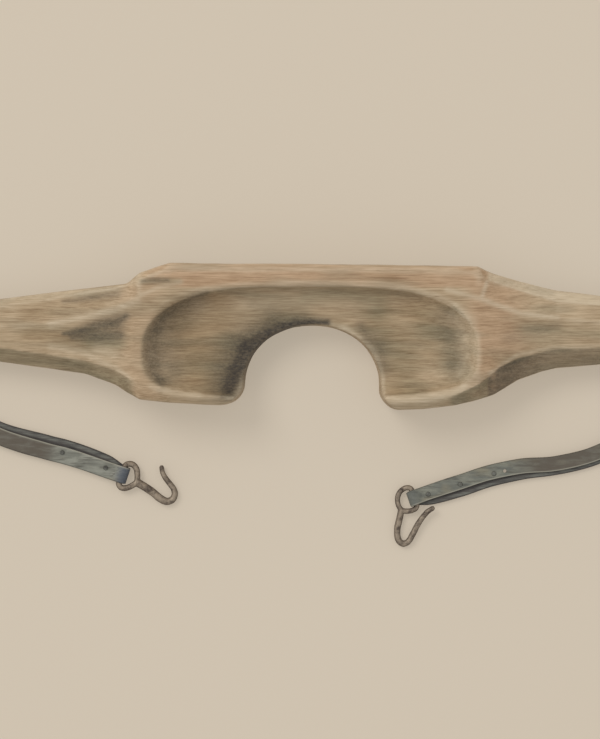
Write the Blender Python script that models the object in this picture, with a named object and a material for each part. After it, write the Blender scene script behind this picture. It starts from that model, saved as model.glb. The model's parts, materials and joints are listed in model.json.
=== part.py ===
"""Wooden shoulder yoke with doubled leather straps and forged hooks, lying on its back.

The side worn on the shoulders faces up: +Z points out of the hollows, +X runs along the beam,
and the neck notch opens towards -Y. Lengths in this file are millimetres, and make_object()
turns them into metres. Points are first placed about the arms' axis (y = 0 there), and
make_object() also moves them so that the frame's origin lies on the beam's flat back.
"""
import math

import bmesh
import bpy
import numpy as np

MM = 0.001
ORIGIN_Y = 36.0            # the frame's origin, on the back of the neck bridge, from the arms' axis

# Beam
HALF_LENGTH = 457.0
FRONT_Z = 72.0             # the flat face round the hollows, above the flat back
AXIS_Z = 29.0              # centre of the round arm ends
NECK_X = 414.5             # middle of the groove that carries the strap
NECK_RADIUS = 16.0

# Shoulder hollow, one long dish that passes behind the neck
HOLLOW_CENTRE_X = -3.6
HOLLOW_CENTRE_Y = -12.5
HOLLOW_HALF = (177.0, 58.5)
HOLLOW_DROP = 12.5         # how far its ends lie below its middle, towards -Y
HOLLOW_DROP_POWER = 4      # 2 bends it evenly, more bends only its ends
HOLLOW_DEPTH = 32.0
HOLLOW_RIM_LIFT = 7.0      # height of the dish's widest level above the front face
HOLLOW_POWER = 2.9         # 2 is an ellipse, more is squarer
CUTTER_CLEAR = 8.0         # how far a cutter stands out of the wood it cuts

# Shallow dishes in the arms' faces beside the block: name, centre and half axes
ARM_DISHES = [("left_arm_dish", (-222, -9, 65.5), (34, 19, 7)),
              ("right_arm_dish", (224, -5, 67.0), (30, 14, 6))]

# Neck notch
NOTCH_CENTRE = (-1.0, -60.0)
NOTCH_HALF = (70.5, 64.2)
NOTCH_POWER = 2.15
NOTCH_FLARE = 1.05         # size at the front face over size at the back
NOTCH_SLOPE = 60.0         # how far the flare also lifts the arch's top, per unit of flare
LOBE_RADIUS = 21.0
LEFT_LOBE_Y = -78.0        # level at which each lobe's rounded corner ends
RIGHT_LOBE_Y = -84.0
MOUTH = (40.0, 52.0)       # how far the cutter spreads below the lobes, at their level and lower
MOUTH_FOOT_Y = -100.0

# Strap: one long strip, doubled
PLY = 3.0                  # thickness of one layer
PLY_GAP = 0.35
STRAP_Z = 5.6              # middle of the two layers where they lie flat
PINCH = 58.0               # distance from the arm's axis at which the layers come together
LAP = 40.0                 # length of the sewn and riveted overlap beyond the pinch
LOOP_HALF = (24.6, 18.5)   # the loop round the arm, along the strap and upright
FLEX_GAP = 5.0             # opening in the strap where its bending joint lies
FOLD_RADIUS = 5.25         # middle of the layer that goes round the hook's bar
FOLD_TAPER = 11.0          # distance over which the layers part in front of the bar
BAR_Z = 6.95
RISE = 13.0                # distance over which the strap rises to the bar

# Rivet and burr
HEAD_RADIUS, HEAD_HEIGHT = 2.5, 1.3
SHANK_RADIUS = 1.5
HOLE_CLEARANCE = 0.35
BURR_RADIUS, BURR_THICK = 3.5, 0.9
TAIL_RADIUS, TAIL_HEIGHT = 2.4, 0.7
AIR = 0.3                  # gap between pieces that touch
PINCH_RIVETS = (70.0, 88.0)

# Hook
HOOK_SIDES = 10

# Each side's strap and hook. The route runs from the arm's axis to the hook's bar, seen from
# above: x, y and how far the rear layer stands out sideways there. Rivets and the punched hole
# are (distance back from the bar, sideways place). Eye and shank are drawn flat: the first
# number runs on along the strap from the bar's centre, the second to the strap's left.
LEFT = {
    "name": "left",
    "width": 18.0,
    "route": [(-414.5, 0, 0), (-397.6, -36.3, 0.5), (-376, -76, 2.5), (-342, -107, 5.5),
              (-283, -127.4, 8.0), (-262.5, -132.7, 8.0), (-226.4, -144.4, 6.6),
              (-216.0, -148.0, 5.4), (-202.0, -152.8, 0.8)],
    "rivets": [(67.0, 2.6), (18.5, 1.4)],
    "holes": [],
    "flex": 135.0,
    "eye": [(0, -9.6), (0, 0), (0, 9.6), (2.6, 13.2), (8, 14.0), (12.8, 10.8), (16, 4.2),
            (17.2, -2.5), (13.6, -7.6), (8.6, -11.8), (3.2, -13.0)],
    "eye_radius": 3.2,
    "shank": [(17.5, -2.3), (25.9, -4.0), (35.2, -6.3), (46.1, -10.4), (53.6, -11.4), (58.8, -7.8),
              (59.8, -2.1), (56.8, 3.4), (50.3, 8.0), (44.3, 12.0), (39.8, 16.4), (37.3, 20.8)],
    "shank_radii": (4.5, 4.2, 3.2, 2.6),
    "reach": 58.0,
}
RIGHT = {
    "name": "right",
    "width": 16.0,
    "route": [(414.5, 0, 0), (397.6, -36.3, 0.5), (374, -78, 2.0), (335, -112, 3.2), (295, -131.5, 4.0),
              (255.2, -141.0, 4.4), (219.1, -143.9, 6.4), (186.5, -150.5, 7.2), (153.7, -161.1, 7.4),
              (121.8, -171.5, 5.4), (107, -176.6, 0.8)],
    "rivets": [(88.0, 2.2), (50.5, 2.0), (15.0, 1.6)],
    "holes": [(100.0, 2.0)],
    "flex": 165.0,
    "eye": [(0, -8.8), (0, 0), (0, 8.8), (2.4, 11.7), (7, 12.2), (12.5, 11.2), (17.2, 8.2),
            (18.6, 2), (17, -5), (13, -10), (7.5, -12.2), (2.6, -11.7)],
    "eye_radius": 2.9,
    "shank": [(17.9, 9.0), (22.0, 16.1), (26.5, 23.0), (29.7, 30.3), (30.5, 38.1), (27.0, 42.9),
              (21.8, 42.4), (15.8, 37.8), (6.3, 28.8), (-2.5, 22.2), (-9.3, 18.6), (-14.4, 17.4)],
    "shank_radii": (3.6, 3.5, 3.3, 2.7),
    "reach": 29.0,
}

# Cross-sections of the beam between its round ends: x; then y of the top edge, of the three
# front corners and of the bottom edge; then z of the back, of the sides' lower and upper
# corners (top side), of the three front corners, and of the bottom side's upper corner.
SECTIONS = [
    (-375, (25.5, 18, 2, -14, -25.5), (5, 18, 37, 47, 53, 48, 37)),
    (-330, (32.5, 25, 3.5, -20, -33), (5, 17, 36, 47.5, 55, 48.5, 35)),
    (-283, (38.4, 31.5, 5.3, -26.3, -39.3), (5, 16, 37, 49, 58, 50, 34)),
    (-238, (43.7, 39.5, 13.5, -34, -46), (4, 14, 42, 54, 63, 55, 38)),
    (-208, (47.2, 45, 20, -42, -57.5), (2, 12, 47, 58, 67, 60, 44)),
    (-195, (48.7, 47.5, 28, -49, -66), (1, 10, 51, 61, 69, 63, 48)),
    (-182, (59.9, 53, 37, -57, -72.8), (0, 10, 60, 68, 71, 67, 56)),
    (-150, (70.4, 65, 20, -69, -76), (0, 10, 66, 72, 72, 72, 64)),
    (-115, (69.5, 64.5, 10, -71, -78.4), (0, 10, 66, 72, 72, 72, 64)),
    (0, (69, 64, 5, -74, -81.5), (0, 10, 66, 72, 72, 72, 64)),
    (88, (67.7, 63, 5, -77, -84.2), (0, 10, 66, 72, 72, 72, 64)),
    (119, (67.5, 62.5, 8, -75, -82.6), (0, 10, 66, 72, 72, 72, 64)),
    (149, (67, 62, 15, -68, -79.1), (0, 10, 66, 72, 72, 72, 62)),
    (173, (66.8, 60, 33, -56, -73.1), (0, 10, 64, 71, 72, 69, 55)),
    (183, (61.7, 52.5, 31, -48, -70.3), (0, 10, 56, 66, 70.5, 65, 49)),
    (191, (58.4, 50.5, 28, -40.5, -67.6), (1, 10, 52, 62, 69, 62, 46)),
    (215, (51.5, 43, 20.5, -28.5, -52.5), (2, 12, 45, 57, 65, 58, 41)),
    (239, (45.5, 35.5, 15, -24, -44.1), (4, 14, 41, 53, 62, 54, 37)),
    (256, (41.5, 30.5, 11.6, -21, -39.9), (5, 15, 38, 50, 60, 51.5, 35)),
    (300, (36, 27, 8, -19.5, -36), (5, 16, 36.5, 48, 57, 49, 34.5)),
    (340, (30.5, 22.5, 4.5, -16.5, -31), (5, 17, 36, 47.5, 54.5, 48, 35)),
    (375, (25.5, 18, 2, -14, -25.5), (5, 18, 37, 47, 53, 48, 37)),
]
BACK_INSET = 12.0          # width of the bevels along the back's edges
POINTS_PER_EDGE = (5, 2, 3, 2, 4, 4, 2, 3, 2)

# The turned ends: distance from the middle and radius, from the arm out to the end knob.
END_PROFILE = [(386, 22.8), (391, 19.4), (394.5, 17.2), (398, NECK_RADIUS), (406, NECK_RADIUS),
               (NECK_X, NECK_RADIUS), (424, NECK_RADIUS), (433.5, NECK_RADIUS), (437, 19.5), (441, 22.2),
               (446, 22.8), (451, 22.2), (455, 20.0), (HALF_LENGTH, 17.0)]


# ---- small helpers -----------------------------------------------------------------------

def smooth_curve(points, steps, closed=False):
    """A centripetal Catmull-Rom curve through points of any dimension."""
    p = np.array(points, float)
    if closed:
        p = np.vstack([p[-1:], p, p[:2]])
    else:
        p = np.vstack([2 * p[0] - p[1], p, 2 * p[-1] - p[-2]])
    curve = []
    for a, b, c, d in zip(p, p[1:], p[2:], p[3:]):
        k1 = np.linalg.norm(b - a) ** 0.5
        k2 = k1 + np.linalg.norm(c - b) ** 0.5
        k3 = k2 + np.linalg.norm(d - c) ** 0.5
        for k in np.linspace(k1, k2, steps, endpoint=False):
            ab = a + (b - a) * k / k1
            bc = b + (c - b) * (k - k1) / (k2 - k1)
            cd = c + (d - c) * (k - k2) / (k3 - k2)
            abc = ab + (bc - ab) * k / k2
            bcd = bc + (cd - bc) * (k - k1) / (k3 - k1)
            curve.append(abc + (bcd - abc) * (k - k1) / (k2 - k1))
    if not closed:
        curve.append(p[-2])
    return np.array(curve)


def smoothstep(t):
    t = min(max(t, 0.0), 1.0)
    return t * t * (3 - 2 * t)


def make_object(name, verts, faces, mat=None, smooth_angle=None):
    """A mesh object from millimetre points, with its faces turned outwards."""
    mesh = bpy.data.meshes.new(name)
    points = [(x * MM, (y - ORIGIN_Y) * MM, z * MM) for x, y, z in verts]
    mesh.from_pydata(points, [], [tuple(f) for f in faces])
    bm = bmesh.new()
    bm.from_mesh(mesh)
    bmesh.ops.recalc_face_normals(bm, faces=bm.faces)
    bm.to_mesh(mesh)
    bm.free()
    if smooth_angle:
        mesh.shade_smooth()
        mesh.set_sharp_from_angle(angle=math.radians(smooth_angle))
    obj = bpy.data.objects.new(name, mesh)
    bpy.context.scene.collection.objects.link(obj)
    if mat:
        mesh.materials.append(mat)
    return obj


def hide_cutter(obj):
    obj.hide_render = True
    obj.display_type = "WIRE"


def boolean(obj, other, operation):
    mod = obj.modifiers.new(other.name, "BOOLEAN")
    mod.operation = operation
    mod.object = other
    hide_cutter(other)


def rings_to_faces(rings, sides, closed=False):
    """Quads between equal rings of points, with the two ends filled unless the rings close."""
    faces = []
    for r in range(rings if closed else rings - 1):
        a, b = r * sides, ((r + 1) % rings) * sides
        for i in range(sides):
            j = (i + 1) % sides
            faces.append((a + i, a + j, b + j, b + i))
    if not closed:
        faces.append(tuple(range(sides)))
        faces.append(tuple(range((rings - 1) * sides, rings * sides)))
    return faces


def turned(name, profile, centre, mat, sides=12):
    """A solid turned about an upright axis; the profile's points are (radius, height)."""
    cx, cy, cz = centre
    verts, rows = [], []
    for radius, height in profile:
        if radius == 0:
            rows.append([len(verts)] * sides)
            verts.append((cx, cy, cz + height))
            continue
        rows.append(list(range(len(verts), len(verts) + sides)))
        for i in range(sides):
            angle = 2 * math.pi * i / sides
            verts.append((cx + radius * math.cos(angle), cy + radius * math.sin(angle), cz + height))
    faces = []
    closed = profile[0][0] != 0
    for row, nxt in zip(rows, rows[1:] + rows[:1] if closed else rows[1:]):
        for i in range(sides):
            j = (i + 1) % sides
            face = [row[i], row[j], nxt[j], nxt[i]]
            faces.append(tuple(dict.fromkeys(face)))
    return make_object(name, verts, faces, mat, 40)


# ---- beam --------------------------------------------------------------------------------

def section_points(ys, zs):
    """The outline of one cross-section, as evenly spread points with one on each corner."""
    top, e, f, g, bottom = ys
    back, low, high, ze, zf, zg, high_bottom = zs
    inset = min(BACK_INSET, 0.5 * top)
    corners = [(bottom + inset, back), (top - inset, back), (top, low), (top, high), (e, ze),
               (f, zf), (g, zg), (bottom, high_bottom), (bottom, low)]
    points = []
    for (y0, z0), (y1, z1), count in zip(corners, corners[1:] + corners[:1], POINTS_PER_EDGE):
        for i in range(count):
            t = i / count
            points.append((y0 + (y1 - y0) * t, z0 + (z1 - z0) * t))
    return points


def round_section(radius, angles):
    return [(radius * math.cos(a), AXIS_Z + radius * math.sin(a)) for a in angles]


def build_beam(mat):
    outlines = [(x, section_points(ys, zs)) for x, ys, zs in SECTIONS]
    count = sum(POINTS_PER_EDGE)
    first = math.radians(-130)
    angles = [first + 2 * math.pi * i / count for i in range(count)]
    left_end = [(-x, round_section(r, angles)) for x, r in reversed(END_PROFILE)]
    right_end = [(x, round_section(r, angles)) for x, r in END_PROFILE]
    outlines = left_end + outlines + right_end
    verts = [(x, y, z) for x, outline in outlines for y, z in outline]
    beam = make_object("yoke_beam", verts, rings_to_faces(len(outlines), count), mat, 22)
    boolean(beam, hollow_cutter(), "DIFFERENCE")
    boolean(beam, notch_cutter(), "DIFFERENCE")
    for dish in ARM_DISHES:
        boolean(beam, dish_cutter(*dish), "DIFFERENCE")
    return beam


def hollow_cutter():
    """The dish: superellipse rings that shrink towards its bottom, closed above the face."""
    rings, around = 9, 56
    full = HOLLOW_DEPTH + HOLLOW_RIM_LIFT
    widen = 1 / (1 - (HOLLOW_RIM_LIFT / full) ** HOLLOW_POWER) ** (1 / HOLLOW_POWER)
    levels = [(1.0, CUTTER_CLEAR + 4)]
    for i in range(rings):
        angle = math.radians(90 * (1 - i / rings))
        levels.append((math.sin(angle) ** (2 / HOLLOW_POWER), -full * math.cos(angle) ** (2 / HOLLOW_POWER)))
    verts = []
    for scale, drop in levels:
        for i in range(around):
            a = 2 * math.pi * i / around
            c, s = math.cos(a), math.sin(a)
            x = math.copysign(abs(c) ** (2 / HOLLOW_POWER), c) * HOLLOW_HALF[0] * widen * scale
            y = math.copysign(abs(s) ** (2 / HOLLOW_POWER), s) * HOLLOW_HALF[1] * widen * scale
            y -= HOLLOW_DROP * (x / HOLLOW_HALF[0]) ** HOLLOW_DROP_POWER
            verts.append((HOLLOW_CENTRE_X + x, HOLLOW_CENTRE_Y + y, FRONT_Z + HOLLOW_RIM_LIFT + drop))
    return make_object("hollow_cutter", verts, rings_to_faces(len(levels), around))


def notch_outline():
    """The arch round the neck and the rounded corners of the two lobes, seen from the front."""
    cx, cy = NOTCH_CENTRE
    hx, hy = NOTCH_HALF
    arch = []
    for i in range(33):
        a = math.pi * i / 32
        c, s = math.cos(a), math.sin(a)
        arch.append((cx + math.copysign(abs(c) ** (2 / NOTCH_POWER), c) * hx,
                     cy + s ** (2 / NOTCH_POWER) * hy))
    right, left = [], []
    for i in range(9):
        a = math.radians(10 * i)
        right.append((cx + hx + LOBE_RADIUS * (1 - math.cos(a)),
                      RIGHT_LOBE_Y + LOBE_RADIUS * (1 - math.sin(a))))
        left.append((cx - hx - LOBE_RADIUS * (1 - math.cos(a)),
                     LEFT_LOBE_Y + LOBE_RADIUS * (1 - math.sin(a))))
    right = [p for p in right if p[1] < cy - 1]
    left = [p for p in left if p[1] < cy - 1]
    near, far = MOUTH
    outline = [(cx + hx + far, MOUTH_FOOT_Y), (cx + hx + near, RIGHT_LOBE_Y - 5)] + right[::-1] + arch
    return outline + left + [(cx - hx - near, LEFT_LOBE_Y - 5), (cx - hx - far, MOUTH_FOOT_Y)]


def notch_cutter():
    outline = notch_outline()
    low, high = -CUTTER_CLEAR, FRONT_Z + CUTTER_CLEAR
    verts = []
    for z in (low, high):
        grow = 1 + (NOTCH_FLARE - 1) * (z - low) / (high - low)
        for x, y in outline:
            arch = max(y - LEFT_LOBE_Y, 0) / (NOTCH_CENTRE[1] + NOTCH_HALF[1] - LEFT_LOBE_Y)
            flared = NOTCH_CENTRE[0] + (x - NOTCH_CENTRE[0]) * grow
            verts.append((flared, y + arch * NOTCH_SLOPE * (grow - 1), z))
    return make_object("notch_cutter", verts, rings_to_faces(2, len(outline)))


def dish_cutter(name, centre, half):
    """An ellipsoid that carves a shallow dish into the face of an arm."""
    rings, around = 10, 24
    verts = []
    for i in range(1, rings):
        a = math.pi * i / rings
        for j in range(around):
            b = 2 * math.pi * j / around
            verts.append((centre[0] + half[0] * math.sin(a) * math.cos(b),
                          centre[1] + half[1] * math.sin(a) * math.sin(b),
                          centre[2] + half[2] * math.cos(a)))
    return make_object(name, verts, rings_to_faces(rings - 1, around))


# ---- straps ------------------------------------------------------------------------------

class Strap:
    """One side's doubled strip, laid along its route."""

    def __init__(self, side):
        self.side = side
        self.width = side["width"]
        self.route = smooth_curve(side["route"], 24)
        steps = np.linalg.norm(np.diff(self.route[:, :2], axis=0), axis=1)
        self.along = np.concatenate([[0.0], np.cumsum(steps)])
        self.length = self.along[-1]

    def heading(self, s):
        """Unit direction of the route, seen from above, at a distance along it."""
        s = min(max(s, 0.0), self.length)
        ahead = min(s + 1.5, self.length)
        behind = max(s - 1.5, 0.0)
        step = self.spot(ahead) - self.spot(behind)
        return step / np.linalg.norm(step)

    def spot(self, s):
        """x, y on the route."""
        return np.array([np.interp(s, self.along, self.route[:, k]) for k in (0, 1)])

    def place(self, s, sideways, z):
        """A point at a distance along the strap, to its left, and at a height."""
        inside = min(max(s, 0.0), self.length)
        ahead = self.heading(inside)
        left = np.array([-ahead[1], ahead[0]])
        x, y = self.spot(inside) + ahead * (s - inside) + left * sideways
        return np.array([x, y, z])

    def rear_shift(self, s):
        return float(np.interp(s, self.along, self.route[:, 2]))

    def middle_z(self, s):
        """Height of the plane between the two layers: flat, then rising to the hook's bar."""
        rise = smoothstep((s - (self.length - RISE)) / RISE)
        return STRAP_Z + (BAR_Z - STRAP_Z) * rise

    def half_offset(self, s):
        """Half the distance between the middles of the two layers."""
        flat = (PLY + PLY_GAP) / 2
        part = smoothstep((s - (self.length - FOLD_TAPER)) / FOLD_TAPER)
        return flat + (FOLD_RADIUS - flat) * part

    def layer(self, start, end, level, rear):
        """Stations (s, z, rear share) along a flat layer; level counts layers from the middle."""
        count = max(2, int(abs(end - start) / 8) + 1)
        stops = list(np.linspace(start, end, count))
        taper = self.length - FOLD_TAPER
        stops = [s for s in stops if s < taper - 1]
        if max(start, end) > taper:
            extra = list(np.linspace(taper, self.length, 6))
            stops = stops + extra if end > start else extra[::-1] + stops
        path = []
        for s in stops:
            offset = self.half_offset(s) + (abs(level) - 1) * (PLY + PLY_GAP)
            path.append((s, self.middle_z(s) + math.copysign(offset, level), rear))
        return path

    def fold(self):
        """Round the hook's bar, from the front layer down to the rear one."""
        path = []
        for i in range(1, 10):
            a = math.pi * (0.5 - i / 10)
            path.append((self.length + FOLD_RADIUS * math.cos(a), BAR_Z + FOLD_RADIUS * math.sin(a), i / 10))
        return path

    def loop(self):
        """From the pinch under the arm's neck, round it and back to the lap on top."""
        a, b = LOOP_HALF
        low = (PINCH, self.middle_z(PINCH) - self.half_offset(PINCH))
        lap_z = self.middle_z(PINCH) + self.half_offset(PINCH) + PLY + PLY_GAP
        top = (PINCH, lap_z)
        start = -tangent_angle(low, a, b, -1)
        end = 2 * math.pi - tangent_angle(top, a, b, 1)
        path = []
        turns = 22
        for i in range(turns + 1):
            angle = start + (end - start) * i / turns
            path.append((a * math.cos(angle), AXIS_Z - b * math.sin(angle), 1 - i / turns))
        leave = np.array(path[-1][:2])
        corner = np.array(top)
        before = corner + (leave - corner) * 0.30
        after = np.array([PINCH + 12, lap_z])
        for i in range(6):
            t = i / 5
            point = before * (1 - t) ** 2 + corner * 2 * t * (1 - t) + after * t * t
            path.append((point[0], point[1], 0))
        return path

    def strip(self, name, stations, mat):
        """The solid of a strip through its stations, with square edges."""
        centres = np.array([(s, z) for s, z, _ in stations])
        verts = []
        for i, (s, z, rear) in enumerate(stations):
            ahead = centres[min(i + 1, len(centres) - 1)] - centres[max(i - 1, 0)]
            ahead = ahead / np.linalg.norm(ahead)
            normal = np.array([-ahead[1], ahead[0]]) * PLY / 2
            shift = rear * self.rear_shift(s)
            for side, out in ((-1, 1), (1, 1), (1, -1), (-1, -1)):
                verts.append(self.place(s + out * normal[0], shift + side * self.width / 2, z + out * normal[1]))
        return make_object(name, verts, rings_to_faces(len(stations), 4), mat, 30)


def tangent_angle(point, a, b, side):
    """Angle, on an ellipse about the arm's axis, of the point whose tangent meets `point`."""
    x, y = point[0] / a, (point[1] - AXIS_Z) / b
    return math.atan2(y, x) + side * math.acos(1 / math.hypot(x, y))


def build_strap(side, leather, iron):
    name = side["name"]
    strap = Strap(side)
    flex = side["flex"]
    above, below = flex - FLEX_GAP / 2, flex + FLEX_GAP / 2
    lap_end = PINCH + LAP
    inner = strap.layer(PINCH + 6, above, 1, 0)
    sling = strap.layer(above, PINCH, -1, 1)[:-1] + strap.loop() + strap.layer(PINCH + 18, lap_end, 2, 0)
    lower = strap.layer(below, strap.length, 1, 0) + strap.fold() + strap.layer(strap.length, below, -1, 1)
    pieces = [strap.strip(f"{name}_strap_inner_ply", inner, leather),
              strap.strip(f"{name}_strap_loop", sling, leather),
              strap.strip(f"{name}_strap_end", lower, leather)]
    spots = [(s, strap.rear_shift(s) / 2, 3) for s in PINCH_RIVETS]
    spots += [(strap.length - back, sideways, 2) for back, sideways in side["rivets"]]
    for number, (s, sideways, layers) in enumerate(spots, 1):
        build_rivet(strap, f"{name}_rivet_{number}", f"{name}_burr_{number}", s, sideways, layers, iron)
        drill(strap, pieces, s, sideways, f"{name}_hole_{number}")
    for number, (back, sideways) in enumerate(side["holes"], 1):
        drill(strap, pieces[2:], strap.length - back, sideways, f"{name}_punched_{number}")
    return strap


def build_rivet(strap, rivet_name, burr_name, s, sideways, layers, mat):
    """A domed rivet through the layers, its tail clenched over a burr underneath."""
    under = STRAP_Z - PLY_GAP / 2 - PLY
    grip = layers * PLY + (layers - 1) * PLY_GAP
    x, y, _ = strap.place(s, sideways, 0)
    top = under + grip + AIR
    burr_top = under - AIR
    tail_top = burr_top - BURR_THICK - AIR
    dome = [(HEAD_RADIUS * math.cos(a), top + HEAD_HEIGHT * (0.35 + 0.65 * math.sin(a)))
            for a in (0, math.radians(35), math.radians(65))]
    profile = [(0, tail_top - TAIL_HEIGHT), (TAIL_RADIUS * 0.7, tail_top - TAIL_HEIGHT),
               (TAIL_RADIUS, tail_top), (SHANK_RADIUS, tail_top), (SHANK_RADIUS, top),
               (HEAD_RADIUS, top)] + dome + [(0, top + HEAD_HEIGHT)]
    turned(rivet_name, profile, (x, y, 0), mat)
    hole = SHANK_RADIUS + HOLE_CLEARANCE
    turned(burr_name, [(hole, burr_top), (BURR_RADIUS, burr_top), (BURR_RADIUS, burr_top - BURR_THICK),
                       (hole, burr_top - BURR_THICK)], (x, y, 0), mat)


def drill(strap, pieces, s, sideways, name):
    x, y, _ = strap.place(s, sideways, 0)
    radius = SHANK_RADIUS + HOLE_CLEARANCE
    cutter = turned(name, [(0, -5), (radius, -5), (radius, 20), (0, 20)], (x, y, 0), None)
    flex = strap.side["flex"]
    for piece in pieces:
        if piece.name.endswith("strap_end") == (s > flex):
            boolean(piece, cutter, "DIFFERENCE")


# ---- hooks -------------------------------------------------------------------------------

def rod(name, path, radii, place, mat, closed=False):
    """A round rod along a flat path, with a rounded far end unless it closes on itself."""
    path = np.array(path)
    radii = list(radii)
    if not closed:
        ahead = path[-1] - path[-2]
        ahead = ahead / np.linalg.norm(ahead)
        tip, tip_radius = path[-1], radii[-1]
        for degrees in (35, 65):
            a = math.radians(degrees)
            path = np.vstack([path, tip + ahead * tip_radius * math.sin(a)])
            radii.append(tip_radius * math.cos(a))
    verts = []
    count = len(path)
    for i, (point, radius) in enumerate(zip(path, radii)):
        if closed:
            ahead = path[(i + 1) % count] - path[i - 1]
        else:
            ahead = path[min(i + 1, count - 1)] - path[max(i - 1, 0)]
        ahead = ahead / np.linalg.norm(ahead)
        left = np.array([-ahead[1], ahead[0]])
        for k in range(HOOK_SIDES):
            a = 2 * math.pi * k / HOOK_SIDES
            verts.append(place(*(point + left * radius * math.cos(a)), radius * math.sin(a)))
    return make_object(name, verts, rings_to_faces(count, HOOK_SIDES, closed), mat, 50)


def build_hook(side, strap, mat):
    """An eye whose straight bar lies in the strap's fold, and a shank bent to an open hook.

    The hook rests tipped, with the far side of its bend on the ground.
    """
    ahead = strap.heading(strap.length)
    left = np.array([-ahead[1], ahead[0]])
    bar = strap.spot(strap.length)
    tip_down = math.asin((BAR_Z - side["shank_radii"][1] - 0.15) / side["reach"])

    def place(along, sideways, up):
        run = along * math.cos(tip_down) + up * math.sin(tip_down)
        x, y = bar + ahead * run + left * sideways
        return (x, y, BAR_Z - along * math.sin(tip_down) + up * math.cos(tip_down))

    eye_path = smooth_curve(side["eye"], 3, closed=True)
    eye_radii = [side["eye_radius"]] * len(eye_path)
    eye = rod(f"{side['name']}_eye", eye_path, eye_radii, place, None, closed=True)
    shank_path = smooth_curve(side["shank"], 3)
    stops = np.linspace(0, 1, len(side["shank_radii"]))
    radii = np.interp(np.linspace(0, 1, len(shank_path)), stops, side["shank_radii"])
    hook = rod(f"{side['name']}_hook", shank_path, radii, place, mat)
    boolean(hook, eye, "UNION")
    return hook


# ---- materials and assembly --------------------------------------------------------------

def material(name, colour, roughness, metallic=0.0):
    mat = bpy.data.materials.new(name)
    mat.use_nodes = True
    shader = mat.node_tree.nodes["Principled BSDF"]
    shader.inputs["Base Color"].default_value = (*colour, 1)
    shader.inputs["Roughness"].default_value = roughness
    shader.inputs["Metallic"].default_value = metallic
    return mat


def main():
    for obj in list(bpy.data.objects):
        bpy.data.objects.remove(obj)
    wood = material("wood", (0.42, 0.28, 0.17), 0.62)
    build_beam(wood)
    for side in (LEFT, RIGHT):
        leather = material(f"{side['name']}_leather", (0.13, 0.15, 0.14), 0.7)
        iron = material(f"{side['name']}_iron", (0.17, 0.14, 0.12), 0.55, 0.8)
        strap = build_strap(side, leather, iron)
        build_hook(side, strap, iron)


main()
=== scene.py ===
"""Looks of the wooden shoulder yoke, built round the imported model.

Every place is in the model's frame, in metres. Lists in millimetres are drawn about the
arms' axis (y = 0 there), as a carver would mark the work out, and at() turns them into metres.
The pieces: the carved beam, two doubled leather straps, two forged hooks, and the rivets.
"""
import json
import math

import bmesh
import bpy
import numpy as np
from mathutils import Matrix, Vector, kdtree


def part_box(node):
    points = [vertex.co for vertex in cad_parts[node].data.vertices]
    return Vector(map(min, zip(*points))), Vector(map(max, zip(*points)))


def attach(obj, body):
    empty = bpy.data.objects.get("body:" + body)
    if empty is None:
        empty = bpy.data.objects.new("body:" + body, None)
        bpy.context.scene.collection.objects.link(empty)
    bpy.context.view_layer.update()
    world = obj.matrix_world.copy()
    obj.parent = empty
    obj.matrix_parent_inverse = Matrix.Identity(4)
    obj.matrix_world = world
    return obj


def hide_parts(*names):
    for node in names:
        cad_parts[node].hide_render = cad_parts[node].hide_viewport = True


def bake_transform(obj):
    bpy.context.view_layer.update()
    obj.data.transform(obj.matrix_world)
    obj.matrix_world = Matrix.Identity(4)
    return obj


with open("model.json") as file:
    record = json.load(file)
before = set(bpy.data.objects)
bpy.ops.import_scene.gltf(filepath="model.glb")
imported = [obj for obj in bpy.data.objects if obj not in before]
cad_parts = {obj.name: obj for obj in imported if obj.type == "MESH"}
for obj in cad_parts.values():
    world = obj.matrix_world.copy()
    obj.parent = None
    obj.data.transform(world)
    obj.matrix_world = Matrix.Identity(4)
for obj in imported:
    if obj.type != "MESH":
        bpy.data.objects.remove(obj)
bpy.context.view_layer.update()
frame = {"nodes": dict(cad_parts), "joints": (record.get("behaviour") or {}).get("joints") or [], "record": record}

MM = 0.001
JOINTS = {joint["name"]: joint for joint in frame["joints"]}
AXIS = Vector(JOINTS["left_strap_swing"]["pos_m"])   # on the arms' axis, in the strap's groove
FACE_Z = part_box("yoke_beam")[1].z / MM               # height of the face round the hollow
SEED = 7
GROUND_CLEAR = 0.0001                                # metres that every piece stays above 0


def at(x, y, z=0.0):
    """Metres in the frame, from millimetres about the arms' axis."""
    return Vector((x * MM, AXIS.y + y * MM, z * MM))


def smoothstep(low, high, value):
    """0 at low and 1 at high, which may be the smaller one."""
    t = np.clip((np.asarray(value, float) - low) / (high - low), 0, 1)
    return t * t * (3 - 2 * t)


# ---- meshes ------------------------------------------------------------------------------

def read_points(mesh):
    points = np.empty(len(mesh.vertices) * 3)
    mesh.vertices.foreach_get("co", points)
    return points.reshape(-1, 3)


def write_points(mesh, points):
    mesh.vertices.foreach_set("co", np.ascontiguousarray(points, float).ravel())
    mesh.update()


def read_normals(mesh):
    normals = np.empty(len(mesh.vertices) * 3)
    mesh.vertex_normals.foreach_get("vector", normals)
    return normals.reshape(-1, 3)


def millimetres(mesh):
    """The mesh's points in millimetres about the arms' axis."""
    points = read_points(mesh) / MM
    points[:, 1] -= AXIS.y / MM
    return points


def new_object(name, mesh):
    obj = bpy.data.objects.new(name, mesh)
    bpy.context.scene.collection.objects.link(obj)
    return obj


def final_mesh(obj):
    """Applies the object's modifiers."""
    graph = bpy.context.evaluated_depsgraph_get()
    mesh = bpy.data.meshes.new_from_object(obj.evaluated_get(graph))
    obj.modifiers.clear()
    obj.data = mesh
    return mesh


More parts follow.
